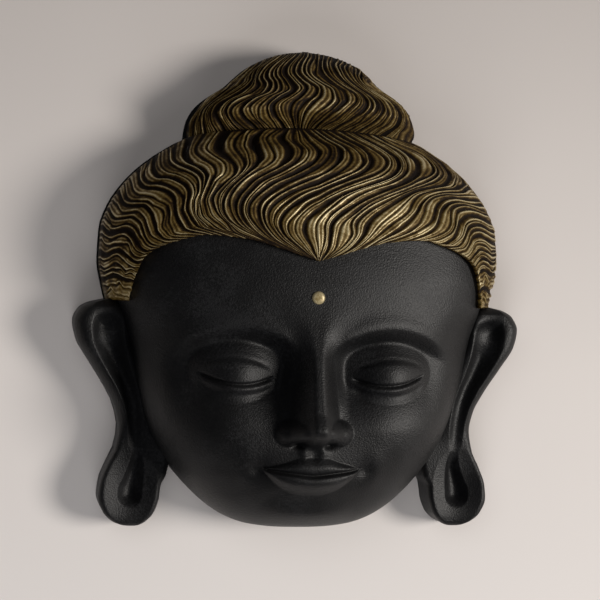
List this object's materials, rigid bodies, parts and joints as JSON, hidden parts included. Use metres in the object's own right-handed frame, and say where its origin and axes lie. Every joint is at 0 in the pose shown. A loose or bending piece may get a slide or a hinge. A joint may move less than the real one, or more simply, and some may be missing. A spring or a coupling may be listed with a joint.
{
  "type": "buddha mask",
  "caption": "Hollow wall mask of a calm face with lowered lids, waved hair rising to a two-tier topknot, and long ears; open flat back with a nail plate.",
  "frame": {"origin": "centre of the bounding box in plan, on the plane of the flat back rim", "axes": "+X to the viewer's right, +Y from the chin to the crown, +Z out of the face; the mask lies on its back"},
  "size_m": [0.3954, 0.42, 0.149],
  "materials": {
    "painted_resin": "satin charcoal-black paint over fine grained cast resin; the hair ridges are dry-brushed antique gold over dark brown"
  },
  "bodies": {
    "root": {"mask": "painted_resin"}
  },
  "joints": []
}
